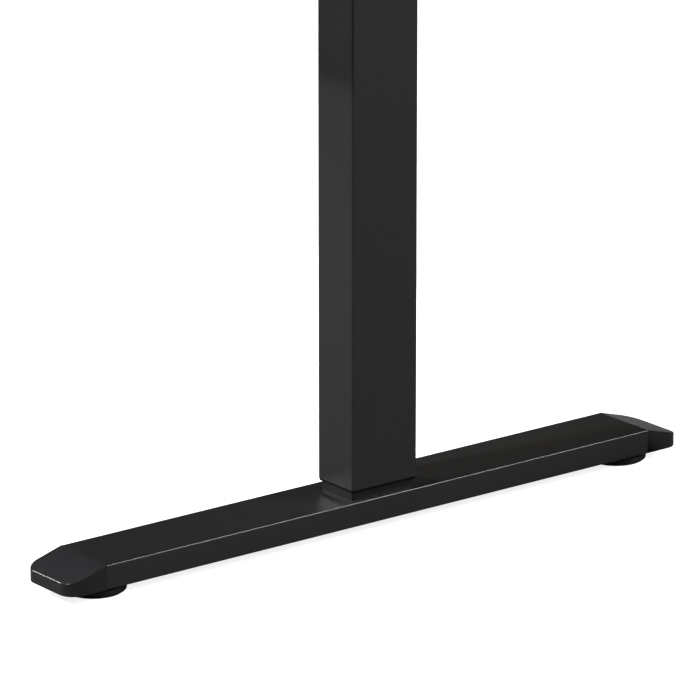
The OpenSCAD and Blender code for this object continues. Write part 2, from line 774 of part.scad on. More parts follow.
// A saddle under the board, open where the lead runs through it along X
module lead_clip(hole_r) {
  translate([-clip_l / 2, 0, 0]) difference() {
    along_x(clip_l) translate([0, underside_z - clip_h / 2]) square([clip_w, clip_h], center = true);
    translate([-nudge, 0, lead_z]) rotate([0, 90, 0]) cylinder(r = hole_r, h = clip_l + 2 * nudge);
  }
}

// Clips that hold the leads
module lead_clips() {
  color([0.05, 0.05, 0.05]) {
    for (p = motor_clips) translate([p[0], p[1], 0]) lead_clip(motor_lead_r + 0.5);
    for (p = handset_clips) translate([p[0], p[1], 0]) rotate([0, 0, p[2]]) lead_clip(handset_lead_r + 1);
  }
}

// ---------- what is drawn ----------

for (leg = ["left", "right"]) {
  on_leg(leg) foot_beam();
  on_leg(leg) foot_cap(-1);
  on_leg(leg) foot_cap(1);
  on_leg(leg) glide(-1);
  on_leg(leg) glide(1);
  on_leg(leg) glide_nuts();
  on_leg(leg) foot_bolts();
  on_leg(leg) inner_tube();
  on_leg(leg) spindle_nut();
  on_leg(leg) slider_cap();
  on_leg(leg) outer_tube();
  on_leg(leg) guide_collar();
  on_leg(leg) lead_screw();
  on_leg(leg) worm_wheel();
  on_leg(leg) thrust_bearing();
  on_leg(leg) gearbox();
  on_leg(leg) worm();
  on_leg(leg) motor();
}
for (b = buttons)
  handset_button(b[1]);
rail(-1);  // front_rail
rail(1);  // back_rail
arm(-1);  // left_arm
arm(1);  // right_arm
frame_bolts();
arm_pads();
desktop();
edge_band();
desktop_screws();
control_box();
control_plate();
control_board();
mains_inlet();
motor_leads();
handset_lead();
lead_clips();
handset();
handset_panel();
handset_board();
handset_window();
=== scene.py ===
import math

import bmesh
import bpy
from mathutils import Matrix, Vector


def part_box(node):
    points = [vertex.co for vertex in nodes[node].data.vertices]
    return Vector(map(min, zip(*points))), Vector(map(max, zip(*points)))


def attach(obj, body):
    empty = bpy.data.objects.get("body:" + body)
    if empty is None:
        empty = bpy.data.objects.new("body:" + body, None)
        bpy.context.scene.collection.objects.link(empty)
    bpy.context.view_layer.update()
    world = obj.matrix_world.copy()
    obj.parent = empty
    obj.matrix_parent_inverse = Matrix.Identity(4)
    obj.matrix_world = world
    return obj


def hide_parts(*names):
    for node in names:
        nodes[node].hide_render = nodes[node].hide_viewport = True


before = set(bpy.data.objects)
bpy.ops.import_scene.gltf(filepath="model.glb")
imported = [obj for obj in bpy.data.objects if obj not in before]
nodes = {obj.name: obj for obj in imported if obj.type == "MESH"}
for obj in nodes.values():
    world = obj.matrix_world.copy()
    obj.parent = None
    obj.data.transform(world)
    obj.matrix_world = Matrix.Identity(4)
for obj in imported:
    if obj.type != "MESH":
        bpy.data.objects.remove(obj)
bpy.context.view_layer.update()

MM = 0.001
LEGS = ("left", "right")
ENDS = ("front", "back")
TAU = 2 * math.pi


# ---------- materials ----------

class Paint:
    """One node material: a principled shader with helpers for the detail that feeds it."""

    def __init__(self, name, colour, rough, **sockets):
        self.mat = bpy.data.materials.new(name)
        self.mat.use_nodes = True
        self.tree = self.mat.node_tree
        self.shader = self.tree.nodes["Principled BSDF"]
        self.shader.inputs["Base Color"].default_value = (*colour, 1)
        self.shader.inputs["Roughness"].default_value = rough
        for socket, value in sockets.items():
            self.shader.inputs[socket.replace("_", " ")].default_value = value
        self.coords = self.node("ShaderNodeTexCoord").outputs["Object"]
        self.normal = None

    def node(self, kind, **settings):
        made = self.tree.nodes.new(kind)
        for key, value in settings.items():
            setattr(made, key, value)
        return made

    def link(self, a, b):
        self.tree.links.new(a, b)

    def stretched(self, scale):
        mapping = self.node("ShaderNodeMapping")
        mapping.inputs["Scale"].default_value = scale
        self.link(self.coords, mapping.inputs["Vector"])
        return mapping.outputs["Vector"]

    def noise(self, scale, detail=2.0, rough=0.5, vector=None, distortion=0.0):
        made = self.node("ShaderNodeTexNoise")
        self.link(vector or self.coords, made.inputs["Vector"])
        made.inputs["Scale"].default_value = scale
        made.inputs["Detail"].default_value = detail
        made.inputs["Roughness"].default_value = rough
        made.inputs["Distortion"].default_value = distortion
        return made.outputs["Fac"]

    def cells(self, scale, output="Distance"):
        made = self.node("ShaderNodeTexVoronoi")
        self.link(self.coords, made.inputs["Vector"])
        made.inputs["Scale"].default_value = scale
        return made.outputs[output]

    def span(self, value, low, high, start=0.3, end=0.7):
        made = self.node("ShaderNodeMapRange", clamp=True)
        self.link(value, made.inputs["Value"])
        for key, number in (("From Min", start), ("From Max", end), ("To Min", low), ("To Max", high)):
            made.inputs[key].default_value = number
        return made.outputs["Result"]

    def mixed(self, fac, a, b):
        made = self.node("ShaderNodeMix", data_type="RGBA")
        self.link(fac, made.inputs["Factor"])
        for socket, value in ((made.inputs["A"], a), (made.inputs["B"], b)):
            if isinstance(value, tuple):
                socket.default_value = (*value, 1)
            else:
                self.link(value, socket)
        return made.outputs["Result"]

    def colour(self, output):
        self.link(output, self.shader.inputs["Base Color"])

    def rough(self, output):
        self.link(output, self.shader.inputs["Roughness"])

    def bump(self, height, strength, depth):
        made = self.node("ShaderNodeBump")
        made.inputs["Strength"].default_value = strength
        made.inputs["Distance"].default_value = depth
        self.link(height, made.inputs["Height"])
        if self.normal:
            self.link(self.normal, made.inputs["Normal"])
        self.normal = made.outputs["Normal"]
        self.link(self.normal, self.shader.inputs["Normal"])


def coated(name, colour, rough, grain=0.0011, depth=0.00002, specular=0.35, change=0.25):
    """Powder coat or spark-eroded plastic: a fine grain, slow changes of gloss and shade."""
    p = Paint(name, colour, rough, Specular_IOR_Level=specular)
    fine = p.noise(1 / grain, 2.5, 0.6)
    slow = p.noise(11, 3, 0.55)
    dark = tuple(c * (1 - change) for c in colour)
    light = tuple(c * (1 + change) for c in colour)
    p.colour(p.mixed(p.span(fine, 0, 1, 0.25, 0.75), dark, light))
    p.rough(p.span(slow, rough - 0.035, rough + 0.035))
    p.bump(fine, 0.35, depth)
    return p.mat


def turned(name, colour, rough, metal=1.0, line=0.0005, change=0.12):
    """Machined metal with fine tool marks across its axis and a few cloudy patches."""
    p = Paint(name, colour, rough, Metallic=metal)
    marks = p.noise(1.0, 3, 0.6, p.stretched((40, 40, 1 / line)))
    cloud = p.noise(60, 4, 0.6)
    low, high = (tuple(c * (1 + s * change) for c in colour) for s in (-1, 1))
    p.colour(p.mixed(p.span(cloud, 0, 1), low, high))
    p.rough(p.span(marks, rough - 0.06, rough + 0.08))
    p.bump(marks, 0.3, 0.00002)
    return p.mat


def zinc():
    p = Paint("zinc_steel", (0.62, 0.63, 0.62), 0.34, Metallic=1.0)
    patches = p.cells(420, output="Color")
    cloud = p.noise(130, 3)
    tone = p.mixed(p.span(cloud, 0, 1), (0.52, 0.54, 0.56), (0.74, 0.73, 0.66))
    p.colour(p.mixed(p.span(patches, 0, 0.35, 0, 1), tone, (0.5, 0.52, 0.55)))
    p.rough(p.span(cloud, 0.28, 0.42))
    p.bump(patches, 0.15, 0.00002)
    return p.mat


def cast():
    p = Paint("cast_alloy", (0.045, 0.045, 0.047), 0.55, Metallic=0.35, Specular_IOR_Level=0.4)
    skin = p.noise(420, 5, 0.65)
    pits = p.cells(900)
    p.colour(p.mixed(p.span(skin, 0, 1), (0.03, 0.03, 0.032), (0.065, 0.065, 0.067)))
    p.rough(p.span(skin, 0.48, 0.66))
    p.bump(skin, 0.5, 0.00008)
    p.bump(pits, 0.25, 0.00004)
    return p.mat


def laminate():
    """Black wood-grain laminate: long grain along X, open pores, a faint cathedral figure."""
    p = Paint("laminate", (0.016, 0.0155, 0.015), 0.42, Specular_IOR_Level=0.4)
    drift = p.noise(1.0, 3, 0.5, p.stretched((0.9, 6, 6)), 0.8)
    figure = p.noise(1.0, 5, 0.6, p.stretched((2.2, 46, 46)), 1.4)
    fibre = p.noise(1.0, 4, 0.65, p.stretched((14, 900, 900)))
    pores = p.noise(1.0, 1.5, 0.5, p.stretched((55, 1500, 1500)))
    tone = p.mixed(p.span(drift, 0, 1), (0.0105, 0.0100, 0.0095), (0.0165, 0.0158, 0.0150))
    tone = p.mixed(p.span(figure, 0, 0.55, 0.4, 0.62), tone, (0.0260, 0.0248, 0.0236))
    tone = p.mixed(p.span(fibre, 0, 0.45), tone, (0.0070, 0.0066, 0.0063))
    tone = p.mixed(p.span(pores, 0, 1, 0.62, 0.7), tone, (0.006, 0.006, 0.006))
    p.colour(tone)
    p.rough(p.span(fibre, 0.38, 0.5))
    p.bump(fibre, 0.25, 0.00006)
    p.bump(p.span(pores, 1, 0, 0.62, 0.7), 0.5, 0.00006)
    return p.mat


def circuit():
    p = Paint("circuit_board", (0.012, 0.09, 0.035), 0.35)
    tracks = p.node("ShaderNodeTexBrick", offset=0.35, squash=1.6, squash_frequency=3)
    p.link(p.stretched((1, 1, 1)), tracks.inputs["Vector"])
    tracks.inputs["Scale"].default_value = 95
    tracks.inputs["Mortar Size"].default_value = 0.045
    for key, shade in (("Color1", (0.010, 0.075, 0.03)), ("Color2", (0.014, 0.10, 0.04)),
                       ("Mortar", (0.05, 0.22, 0.08))):
        tracks.inputs[key].default_value = (*shade, 1)
    pads = p.cells(240)
    p.colour(p.mixed(p.span(pads, 1, 0, 0.12, 0.16), tracks.outputs["Color"], (0.55, 0.54, 0.5)))
    p.rough(p.span(pads, 0.25, 0.38, 0.1, 0.3))
    p.bump(tracks.outputs["Fac"], 0.3, 0.00003)
    return p.mat


def rubbery(name, colour, rough, grain=0.0008):
    p = Paint(name, colour, rough, Specular_IOR_Level=0.25)
    dust = p.noise(35, 4, 0.6)
    fine = p.noise(1 / grain, 3, 0.6)
    p.colour(p.mixed(p.span(dust, 0, 1), tuple(0.8 * c for c in colour), tuple(1.35 * c for c in colour)))
    p.rough(p.span(dust, rough - 0.05, rough + 0.05))
    p.bump(fine, 0.4, 0.00004)
    return p.mat


def glossy(name, colour, rough, coat):
    p = Paint(name, colour, rough, Coat_Weight=coat, Coat_Roughness=0.05)
    smear = p.noise(28, 5, 0.6, distortion=0.6)
    specks = p.cells(1300)
    p.colour(p.mixed(p.span(smear, 0, 1), tuple(0.85 * c for c in colour), tuple(1.2 * c for c in colour)))
    p.rough(p.span(smear, rough, rough + 0.08))
    p.bump(specks, 0.04, 0.00001)
    return p.mat


MATS = {
    "powder_coat": coated("powder_coat", (0.0080, 0.0080, 0.0080), 0.34, specular=0.34),
    # A darker, less glossy copy of the powder coat: painted shade for the inner tube, which mostly shows as
    # a short stub in the shade under the outer tube.
    "shaded_inner_coat": coated("shaded_inner_coat", (0.0055, 0.0055, 0.0055), 0.36, specular=0.14),
    "cap_plastic": coated("cap_plastic", (0.0128, 0.0122, 0.0134), 0.25, 0.0007, specular=0.10),
    "glide_plastic": coated("glide_plastic", (0.0088, 0.0086, 0.0100), 0.42, 0.0008, specular=0.22),
    "guide_plastic": coated("guide_plastic", (0.0012, 0.0012, 0.0013), 0.45, 0.0008, specular=0.06),
    "box_plastic": coated("box_plastic", (0.014, 0.014, 0.0145), 0.5, 0.0006, 0.00004, 0.4),
    "edge_plastic": coated("edge_plastic", (0.015, 0.0148, 0.0145), 0.45, 0.0006, specular=0.35),
    "button_plastic": coated("button_plastic", (0.11, 0.11, 0.115), 0.42, 0.0004, specular=0.45),
    "slider_plastic": coated("slider_plastic", (0.72, 0.71, 0.67), 0.38, 0.0009, specular=0.5, change=0.04),
    "black_steel": turned("black_steel", (0.07, 0.07, 0.075), 0.36, 0.85),
    "ground_steel": turned("ground_steel", (0.55, 0.55, 0.55), 0.26),
    "zinc_steel": zinc(),
    "wheel_brass": turned("wheel_brass", (0.62, 0.47, 0.22), 0.3),
    "cast_alloy": cast(),
    "laminate": laminate(),
    "rubber": rubbery("rubber", (0.012, 0.012, 0.012), 0.8),
    "lead_sheath": rubbery("lead_sheath", (0.014, 0.014, 0.014), 0.45, 0.0005),
    "gloss_panel": glossy("gloss_panel", (0.008, 0.008, 0.009), 0.12, 0.8),
    "window_plastic": glossy("window_plastic", (0.012, 0.013, 0.018), 0.05, 1.0),
    "circuit_board": circuit(),
    "white_mark": coated("white_mark", (0.62, 0.62, 0.62), 0.4, 0.0004, change=0.05),
}


# ---------- mesh building ----------

class Solid:
    """Rings of points and the faces between them, placed by a matrix."""

    def __init__(self, place=None):
        self.place = place or Matrix.Identity(4)
        self.points, self.faces, self.marks, self.mark = [], [], [], 0

    def ring(self, points):
        start = len(self.points)
        self.points += [self.place @ Vector(p) for p in points]
        return list(range(start, len(self.points)))

    def face(self, loop):
        self.faces.append(tuple(loop))
        self.marks.append(self.mark)

    def band(self, a, b):
        for k in range(len(a)):
            m = (k + 1) % len(a)
            self.face((a[k], a[m], b[m], b[k]))

    def loft(self, rings, closed=False, caps=True):
        made = [self.ring(r) for r in rings]
        for a, b in zip(made, made[1:]):
            self.band(a, b)
        if closed:
            self.band(made[-1], made[0])
        elif caps:
            self.face(reversed(made[0]))
            self.face(made[-1])
        return made

    def lathe(self, profile, sides=48, closed=False, reach=None):
        """profile holds (radius, height); reach(angle, index) scales the radius."""
        angles = [TAU * k / sides for k in range(sides)]
        rings = []
        for i, (r, z) in enumerate(profile):
            radii = [r * reach(a, i) if reach else r for a in angles]
            rings.append([(q * math.cos(a), q * math.sin(a), z) for q, a in zip(radii, angles)])
        self.loft(rings, closed)

    def box(self, lo, hi, ease):
        """A box with its edges and corners cut off."""
        (x0, y0, z0), (x1, y1, z1) = lo, hi

        def outline(s):
            return [(x0 + s, y0 + s + ease), (x0 + s + ease, y0 + s), (x1 - s - ease, y0 + s),
                    (x1 - s, y0 + s + ease), (x1 - s, y1 - s - ease), (x1 - s - ease, y1 - s),
                    (x0 + s + ease, y1 - s), (x0 + s, y1 - s - ease)]
        self.loft([[(x, y, z) for x, y in outline(s)] for s, z in (
            (ease, z0), (0, z0 + ease), (0, z1 - ease), (ease, z1))])

    def build(self, name, mats, angle=32):
        mesh = bpy.data.meshes.new(name)
        mesh.from_pydata([tuple(p) for p in self.points], [], self.faces)
        for m in mats:
            mesh.materials.append(MATS[m])
        mesh.polygons.foreach_set("material_index", self.marks)
        return finish_mesh(name, mesh, angle)


def finish_mesh(name, mesh, angle):
    bm = bmesh.new()
    bm.from_mesh(mesh)
    bmesh.ops.recalc_face_normals(bm, faces=bm.faces)
    bm.to_mesh(mesh)
    bm.free()
    mesh.polygons.foreach_set("use_smooth", [True] * len(mesh.polygons))
    mesh.set_sharp_from_angle(angle=math.radians(angle))
    made = bpy.data.objects.new(name, mesh)
    bpy.context.scene.collection.objects.link(made)
    return made


def placed(piece, body, slot, *stands_for):
    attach(piece, body)
    if stands_for:
        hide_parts(*stands_for)
    return piece


def softened(node, name, mat, width, segments=3, weight=None):
    """A copy of a CAD node's shape with rounded edges; weight(edge) scales the width of each."""
    bm = bmesh.new()
    bm.from_mesh(nodes[node].data)
    bmesh.ops.remove_doubles(bm, verts=bm.verts, dist=1e-6)
    bmesh.ops.dissolve_limit(bm, angle_limit=math.radians(1), verts=bm.verts, edges=bm.edges)
    bmesh.ops.recalc_face_normals(bm, faces=bm.faces)
    layer = bm.edges.layers.float.new("bevel_weight_edge")
    for e in bm.edges:
        turn = e.calc_face_angle(0) if len(e.link_faces) == 2 else 0
        e[layer] = 0.0
        if turn > math.radians(25):
            e[layer] = weight(e) if weight else 1.0
        e.smooth = turn < math.radians(25) or e[layer] > 0
    for f in bm.faces:
        f.smooth = True
    mesh = bpy.data.meshes.new(name)
    bm.to_mesh(mesh)
    bm.free()
    mesh.materials.clear()
    mesh.materials.append(MATS[mat])
    made = bpy.data.objects.new(name, mesh)
    bpy.context.scene.collection.objects.link(made)
    ease = made.modifiers.new("ease", "BEVEL")
    ease.limit_method = "WEIGHT"
    ease.width, ease.segments = width, segments
    ease.use_clamp_overlap = True
    weigh = made.modifiers.new("weigh", "WEIGHTED_NORMAL")
    weigh.weight = 80
    weigh.keep_sharp = True
    return made


def carried(node, mat, width=0.0004, segments=2, shade=None):
    """A CAD node shown as it is, with eased edges and its own material."""
    piece = nodes[node]
    mesh = piece.data
    mesh.materials.clear()
    mesh.materials.append(MATS[shade or mat])
    if "custom_normal" in mesh.attributes:
        mesh.attributes.remove(mesh.attributes["custom_normal"])
    mesh.polygons.foreach_set("use_smooth", [True] * len(mesh.polygons))
    weld = piece.modifiers.new("weld", "WELD")
    weld.merge_threshold = 1e-6
    flat = piece.modifiers.new("flat", "DECIMATE")
    flat.decimate_type = "DISSOLVE"
    flat.angle_limit = math.radians(1)
    if width:
        ease = piece.modifiers.new("ease", "BEVEL")
        ease.width = width
        ease.segments = segments
        ease.limit_method = "ANGLE"
        ease.angle_limit = math.radians(30)
        ease.use_clamp_overlap = True
    weigh = piece.modifiers.new("weigh", "WEIGHTED_NORMAL")
    weigh.keep_sharp = True
    return piece


def middle(node):
    lo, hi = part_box(node)
    return (lo + hi) / 2, hi - lo


def at(point, axis="Z", flip=False):
    """A matrix whose Z points along the named axis, with its origin at the point."""
    turn = {"Z": Matrix.Identity(4), "X": Matrix.Rotation(TAU / 4, 4, "Y"),
            "Y": Matrix.Rotation(-TAU / 4, 4, "X")}[axis]
    back = Matrix.Rotation(TAU / 2, 4, "X") if flip else Matrix.Identity(4)
    return Matrix.Translation(point) @ turn @ back


def hexagon(flat, theta):
    """Distance to a hexagon's outline, where flat is half its width across flats."""
    return flat / math.cos((theta % (TAU / 6)) - TAU / 12)


def cross(arm, half, theta):
    c, s = abs(math.cos(theta)) + 1e-9, abs(math.sin(theta)) + 1e-9
    return max(min(arm / c, half / s), min(half / c, arm / s))


def thread(solid, radius, depth, pitch, z0, z1, sides=24, steps=6):
    """A rod with a helical thread and tapered ends."""
    count = max(int((z1 - z0) / pitch * steps), 2)
    rings = []
    for i in range(count + 1):
        z = z0 + (z1 - z0) * i / count
        fade = min(1.0, (z - z0) / pitch, (z1 - z) / pitch)
        row = []
        for k in range(sides):
            phase = (z / pitch - k / sides) % 1.0
            tooth = min(max(4 * abs(phase - 0.5) - 0.5, 0.0), 1.0)
            r = radius - depth + depth * tooth * fade
            row.append((r * math.cos(TAU * k / sides), r * math.sin(TAU * k / sides), z))
        rings.append(row)
    solid.loft(rings)


def bolt(solid, place, shank, shank_l, head, head_h, drive="hex", pitch=0.001):
    """A screw in its own frame: the head lies below z = 0 and the threaded shank above it."""
    solid.place = place
    sides = 36

    def outline(r):
        return [(r * math.cos(TAU * k / sides), r * math.sin(TAU * k / sides)) for k in range(sides)]

    def socket(scale):
        reach = []
        for k in range(sides):
            theta = TAU * k / sides
            r = hexagon(head * 0.5, theta) if drive == "hex" else cross(head * 0.55, head * 0.13, theta)
            reach.append((r * scale * math.cos(theta), r * scale * math.sin(theta)))
        return reach
    ease = head_h * 0.12
    deep = head_h * (0.55 if drive == "hex" else 0.4)
    layers = [(socket(0.55), -head_h + deep * 1.12), (socket(0.97), -head_h + deep),
              (socket(1), -head_h + ease * 0.3), (socket(1.07), -head_h), (outline(head - ease), -head_h)]
    if drive == "hex":
        layers += [(outline(head), -head_h + ease), (outline(head), -ease * 0.4),
                   (outline(head - ease * 0.4), 0)]
    else:
        layers += [(outline(head * 0.97), -head_h * 0.72), (outline(head), -head_h * 0.3),
                   (outline(head), 0)]
    layers.append((outline(shank * 0.9), 0))
    solid.loft([[(x, y, z) for x, y in row] for row, z in layers])
    thread(solid, shank, shank * 0.13, pitch, 0.0, shank_l, 20, 5)


def smooth_route(points, steps):
    """Points on a smooth curve through the given ones."""
    p = [Vector(q) for q in points]
    out = []
    for i in range(len(p) - 1):
        a, b, c, d = p[max(i - 1, 0)], p[i], p[i + 1], p[min(i + 2, len(p) - 1)]
        for k in range(steps):
            t = k / steps
            out.append(0.5 * (2 * b + (c - a) * t + (2 * a - 5 * b + 4 * c - d) * t * t
                              + (3 * b - a - 3 * c + d) * t ** 3))
    return out + [p[-1]]


def sweep(solid, path, radius, sides=16):
    """A round section along a path; radius may depend on the share of the length."""
    rings = []
    for i, q in enumerate(path):
        t = (path[min(i + 1, len(path) - 1)] - path[max(i - 1, 0)]).normalized()
        side = Vector((0, 0, 1)).cross(t).normalized()
        up = t.cross(side)
        r = radius(i / (len(path) - 1)) if callable(radius) else radius
        rings.append([q + r * (math.cos(TAU * k / sides) * side + math.sin(TAU * k / sides) * up)
                      for k in range(sides)])
    solid.loft(rings)


def rounded(w, d, r, steps=6):
    """A rectangle with round corners, as a ring of points in the plane."""
    out = []
    for n, (sx, sy) in enumerate(((1, 1), (-1, 1), (-1, -1), (1, -1))):
        for k in range(steps + 1):
            a = TAU / 4 * (n + k / steps)
            out.append((sx * (w / 2 - r) + r * math.cos(a), sy * (d / 2 - r) + r * math.sin(a)))
    return out


def weld_bead(solid, w, d, r, z, size):
    """A rippled fillet round a tube of w by d with corner radius r, under a plate at height z."""
    corners = []
    for n, (sx, sy) in enumerate(((1, 1), (-1, 1), (-1, -1), (1, -1))):
        for k in range(7):
            a = TAU / 4 * (n + k / 6)
            away = Vector((math.cos(a), math.sin(a)))
            corners.append((Vector((sx * (w / 2 - r), sy * (d / 2 - r))) + r * away, away))
    outline = []
    for (start, away), (stop, next_away) in zip(corners, corners[1:] + corners[:1]):
        steps = max(1, int((stop - start).length / (1.1 * MM)))
        for k in range(steps):
            t = k / steps
            outline.append((start.lerp(stop, t), away.lerp(next_away, t).normalized()))
    rings = []
    for m in range(5):
        a = TAU / 4 * m / 4
        row = []
        for k, (point, away) in enumerate(outline):
            ripple = size * (1 + 0.14 * math.sin(k * 1.9) + 0.05 * math.sin(k * 5.3))
            x, y = point + away * (ripple * math.cos(a) - 0.1 * MM)
            row.append((x, y, z - ripple * math.sin(a)))
        rings.append(row)
    solid.loft(rings, caps=False)


# ---------- the two legs ----------

for leg in LEGS:
    base = f"{leg}_base"
    beam_lo, beam_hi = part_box(f"{leg}_foot_beam")
    inner_s = middle(f"{leg}_inner_tube")[1]
    collar_c, collar_s = middle(f"{leg}_guide_collar")
    collar_lo, collar_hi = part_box(f"{leg}_guide_collar")
    column_x = collar_c.x

    carried(f"{leg}_foot_beam", "powder_coat", 0.0003)
    for end in ENDS:
        node = f"{leg}_{end}_foot_cap"
        mouth = beam_hi.y + 0.3 * MM

        def cap_edge(e):
            """Wide rounding on the lip's top edge, a small one elsewhere and none at the beam."""
            if all(abs(v.co.y) < mouth for v in e.verts):
                return 0.0
            up = max(f.normal.z for f in e.link_faces)
            along = max(abs(f.normal.y) for f in e.link_faces if f.normal.z < 0.5)
            return 0.25 + 0.75 * min(1, along ** 1.5) if 0.5 < up < 0.99 else 0.45
        cap = softened(node, f"{leg}_{end}_cap_moulding", "cap_plastic", 1.6 * MM, 5, cap_edge)
        placed(cap, base, "cap_plastic", node)

    # Levelling glides: a fluted disc with a soft pad, a hexagon for a spanner and a threaded stud
    for end in ENDS:
        node = f"{leg}_{end}_glide"
        (c, s), (lo, _) = middle(node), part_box(node)
        r = s.x / 2
        top = beam_lo.z - 2.5 * MM
        glide = Solid(at((c.x, c.y, lo.z)))

        def flutes(theta, i):
            return 1 - (0.010 * (0.5 + 0.5 * math.cos(40 * theta)) ** 2 if 3 <= i <= 5 else 0)
        glide.lathe([(r * 0.2, 0.6 * MM), (r - 5 * MM, 0.6 * MM), (r - 2.4 * MM, 0.3 * MM),
                     (r - 0.5 * MM, 1.8 * MM), (r, 2.8 * MM), (r, top - 2.4 * MM),
                     (r - 0.6 * MM, top - 1 * MM), (r - 2 * MM, top), (r - 8 * MM, top),
                     (r - 10 * MM, top - 0.7 * MM), (12 * MM, top - 0.7 * MM), (10.6 * MM, top)],
                    160, reach=flutes)
        glide.lathe([(9.8 * MM, top - 1 * MM), (9.8 * MM, beam_lo.z - 0.9 * MM),
                     (9 * MM, beam_lo.z - 0.4 * MM)], 48, reach=lambda theta, i: hexagon(0.9, theta))
        glide.mark = 1
        glide.lathe([(r * 0.1, 0.0), (r - 3 * MM, 0.0), (r - 2.6 * MM, 0.5 * MM),
                     (r - 3 * MM, 0.8 * MM)], 96)
        glide.mark = 2
        thread(glide, 3.95 * MM, 0.5 * MM, 1.25 * MM, beam_lo.z - 1 * MM, s.z, 24, 6)
        placed(glide.build(f"{leg}_{end}_levelling_foot", ["glide_plastic", "rubber", "zinc_steel"], 28),
               f"{leg}_{end}_glide_foot", "glide_plastic", node)

    # Weld nuts and base bolts inside the beam
    node = f"{leg}_glide_nuts"
    (c, s), (lo, _) = middle(node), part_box(node)
    nuts = Solid()
    for end in ENDS:
        y = middle(f"{leg}_{end}_glide")[0].y
        nuts.place = at((c.x, y, lo.z))
        flat, bore = 6.45 * MM, 4 * MM
        nuts.loft([[(q(TAU * k / 48) * math.cos(TAU * k / 48), q(TAU * k / 48) * math.sin(TAU * k / 48), z)
                    for k in range(48)]
                   for q, z in ((lambda a: bore, 0.0), (lambda a: flat, 0.0),
                                (lambda a: hexagon(flat, a), 0.9 * MM),
                                (lambda a: hexagon(flat, a), s.z - 0.9 * MM), (lambda a: flat, s.z),
                                (lambda a: bore + 0.5 * MM, s.z), (lambda a: bore, s.z - 0.5 * MM))],
                  closed=True)
    placed(nuts.build(f"{leg}_weld_nuts", ["zinc_steel"]), base, "zinc_steel", node)

    node = f"{leg}_foot_bolts"
    (_, s), (lo, hi) = middle(node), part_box(node)
    screws = Solid()
    for x in (lo.x + 5 * MM, hi.x - 5 * MM):
        for y in (lo.y + 5 * MM, hi.y - 5 * MM):
            bolt(screws, at((x, y, lo.z + 6 * MM)), 2.95 * MM, s.z - 6 * MM, 5 * MM, 6 * MM)
    placed(screws.build(f"{leg}_base_bolts", ["black_steel"]), base, "black_steel", node)

    # Column tubes, with a weld bead round each end that is welded
    # The inner tube takes the darker copy of the powder coat, as painted shade for the stub under the outer
    # tube.
    carried(f"{leg}_inner_tube", "powder_coat", 0.0003, shade="shaded_inner_coat")
    carried(f"{leg}_outer_tube", "powder_coat", 0.0003)
    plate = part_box("frame_bolts")[0].z + 6 * MM

    weld = Solid(Matrix.Translation((column_x, 0, 0)))
    weld_bead(weld, 55 * MM, 80 * MM, 2 * MM, plate, 2.2 * MM)
    placed(weld.build(f"{leg}_head_weld", ["powder_coat"], 60), "upper_frame", "powder_coat")

    # Guide collar with a rounded lip, and the slider over the top of the inner tube
    node = f"{leg}_guide_collar"
    lip_w, lip_d = collar_s.x, collar_s.y
    collar = Solid(Matrix.Translation((column_x, 0, 0)))
    bore_w, bore_d, bore_r = inner_s.x + 0.7 * MM, inner_s.y + 0.7 * MM, 2.5 * MM
    step = collar_lo.z + 2.5 * MM
    neck_w, neck_d = lip_w - 2 * MM, lip_d - 2 * MM
    collar.loft([[(x, y, z) for x, y in rounded(w, d, r)] for w, d, r, z in (
        (bore_w, bore_d, bore_r, collar_lo.z + 0.5 * MM),
        (bore_w + 0.8 * MM, bore_d + 0.8 * MM, bore_r, collar_lo.z),
        (lip_w - 1.4 * MM, lip_d - 1.4 * MM, 1.1 * MM, collar_lo.z),
        (lip_w - 0.4 * MM, lip_d - 0.4 * MM, 1.4 * MM, collar_lo.z + 0.3 * MM),
        (lip_w, lip_d, 1.5 * MM, collar_lo.z + 0.8 * MM),
        (lip_w, lip_d, 1.5 * MM, step - 0.3 * MM),
        (lip_w - 0.4 * MM, lip_d - 0.4 * MM, 1.4 * MM, step),
        (neck_w, neck_d, 0.5 * MM, step),
        (neck_w, neck_d, 0.5 * MM, collar_hi.z - 1 * MM),
        (neck_w - 1 * MM, neck_d - 1 * MM, 0.5 * MM, collar_hi.z),
        (bore_w + 0.4 * MM, bore_d + 0.4 * MM, bore_r, collar_hi.z),
        (bore_w, bore_d, bore_r, collar_hi.z - 0.5 * MM))], closed=True)
    placed(collar.build(f"{leg}_collar_moulding", ["guide_plastic"]), "upper_frame", "guide_plastic", node)
    carried(f"{leg}_slider_cap", "slider_plastic", 0.0005)

    # Lead screw and its nut
    node = f"{leg}_lead_screw"
    (c, s), (lo, hi) = middle(node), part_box(node)
    spindle = Solid(at((c.x, c.y, 0)))
    thread(spindle, s.x / 2, 1.3 * MM, 8 * MM, lo.z, hi.z - 60 * MM, 28, 14)
    spindle.lathe([(s.x / 2 - 1.3 * MM, hi.z - 62 * MM), (s.x / 2, hi.z - 60 * MM),
                   (s.x / 2, hi.z - 0.8 * MM),
                   (s.x / 2 - 0.8 * MM, hi.z)], 40)
    placed(spindle.build(f"{leg}_spindle", ["ground_steel"], 40), f"{leg}_screw", "ground_steel", node)

    node = f"{leg}_spindle_nut"
    (c, _), (lo, hi) = middle(node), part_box(node)
    nut = Solid(at((c.x, c.y, 0)))

    def keyed(theta, i):
        """Six shallow notches in the nut's flange."""
        return 1 - 0.02 * (math.cos(6 * theta) > 0.8) if 5 < i < 8 else 1
    nut.lathe([(7.3 * MM, lo.z), (11.2 * MM, lo.z), (12 * MM, lo.z + 0.8 * MM), (12 * MM, hi.z - 4.4 * MM),
               (12 * MM, hi.z - 4 * MM), (15.6 * MM, hi.z - 4 * MM), (16 * MM, hi.z - 3.6 * MM),
               (16 * MM, hi.z - 0.6 * MM), (15.4 * MM, hi.z), (8.2 * MM, hi.z),
               (7.3 * MM, hi.z - 0.9 * MM)], 64, closed=True, reach=keyed)
    placed(nut.build(f"{leg}_nut_moulding", ["slider_plastic"]), base, "slider_plastic", node)

